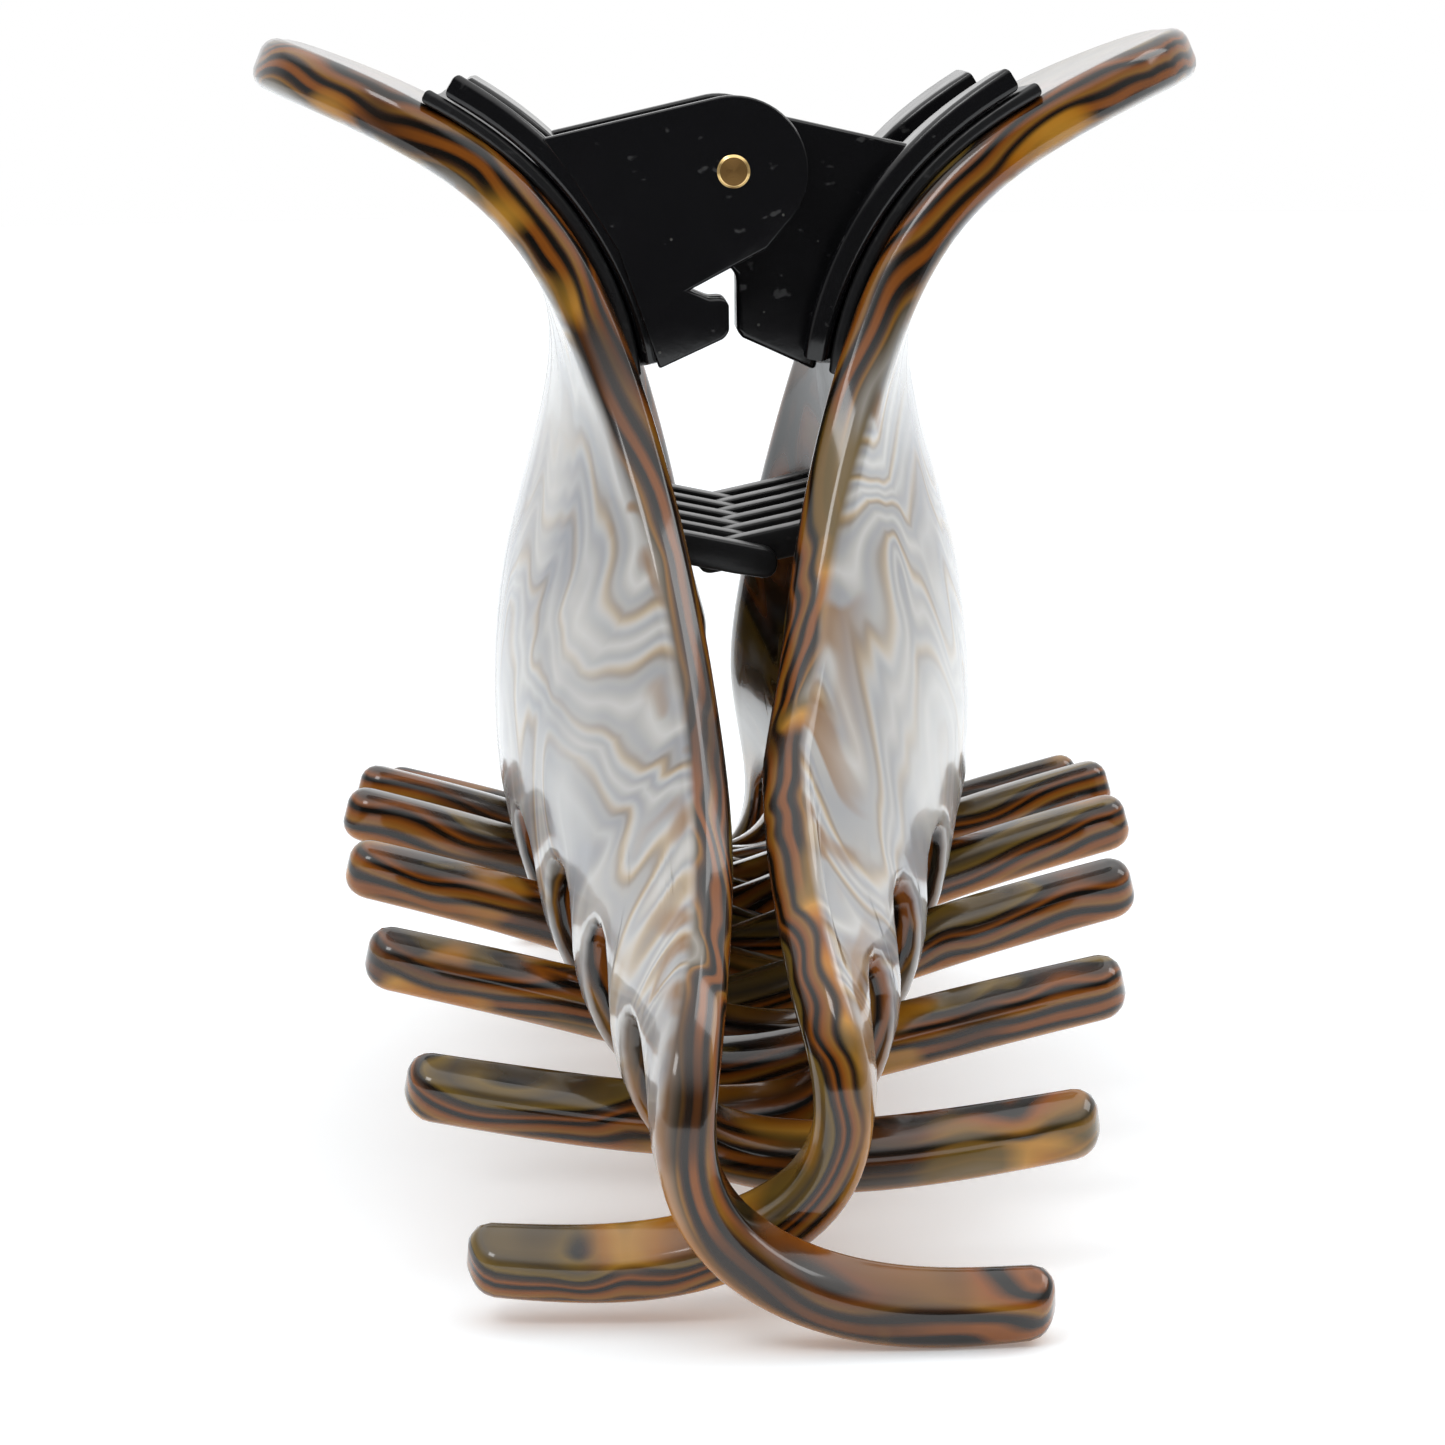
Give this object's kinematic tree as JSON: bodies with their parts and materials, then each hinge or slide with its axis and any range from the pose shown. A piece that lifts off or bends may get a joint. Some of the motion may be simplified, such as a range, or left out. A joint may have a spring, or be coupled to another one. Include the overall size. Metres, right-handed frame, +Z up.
{
  "type": "hair claw clip",
  "caption": "Spring-closed hair claw clip: two bent marbled acetate jaws with interlocking curved fingers on a black plastic hinge with a brass pin.",
  "frame": {"origin": "on the ground under the middle of the clip's bounding box", "axes": "+Z up through the hinge, +Y along the hinge pin away from the end that is looked at, +X towards the right jaw"},
  "size_m": [0.0548, 0.0994, 0.0645],
  "materials": {
    "acetate": "tumbled and polished laminated acetate, wavy brown, amber, black and pearl grey layers",
    "black_plastic": "moulded black plastic, satin gloss",
    "comb_plastic": "moulded black plastic, fine texture",
    "pin_brass": "turned and polished",
    "spring_steel": "drawn wire"
  },
  "bodies": {
    "left_half": {"left_jaw": "acetate", "left_hinge_bracket": "black_plastic", "left_grip_comb": "comb_plastic", "hinge_pin": "pin_brass", "torsion_spring": "spring_steel"},
    "right_half": {"right_jaw": "acetate", "right_hinge_bracket": "black_plastic", "right_grip_comb": "comb_plastic", "spring_moving_leg": "spring_steel"}
  },
  "joints": [
    {"name": "jaw_hinge", "type": "hinge", "parent": "left_half", "child": "right_half", "pos_m": [0, 0, 0.0568], "axis": [0, -1, 0], "range_deg": [0, 55], "stiffness_Nm_per_rad": 0.15, "springref_deg": -28.65}
  ]
}
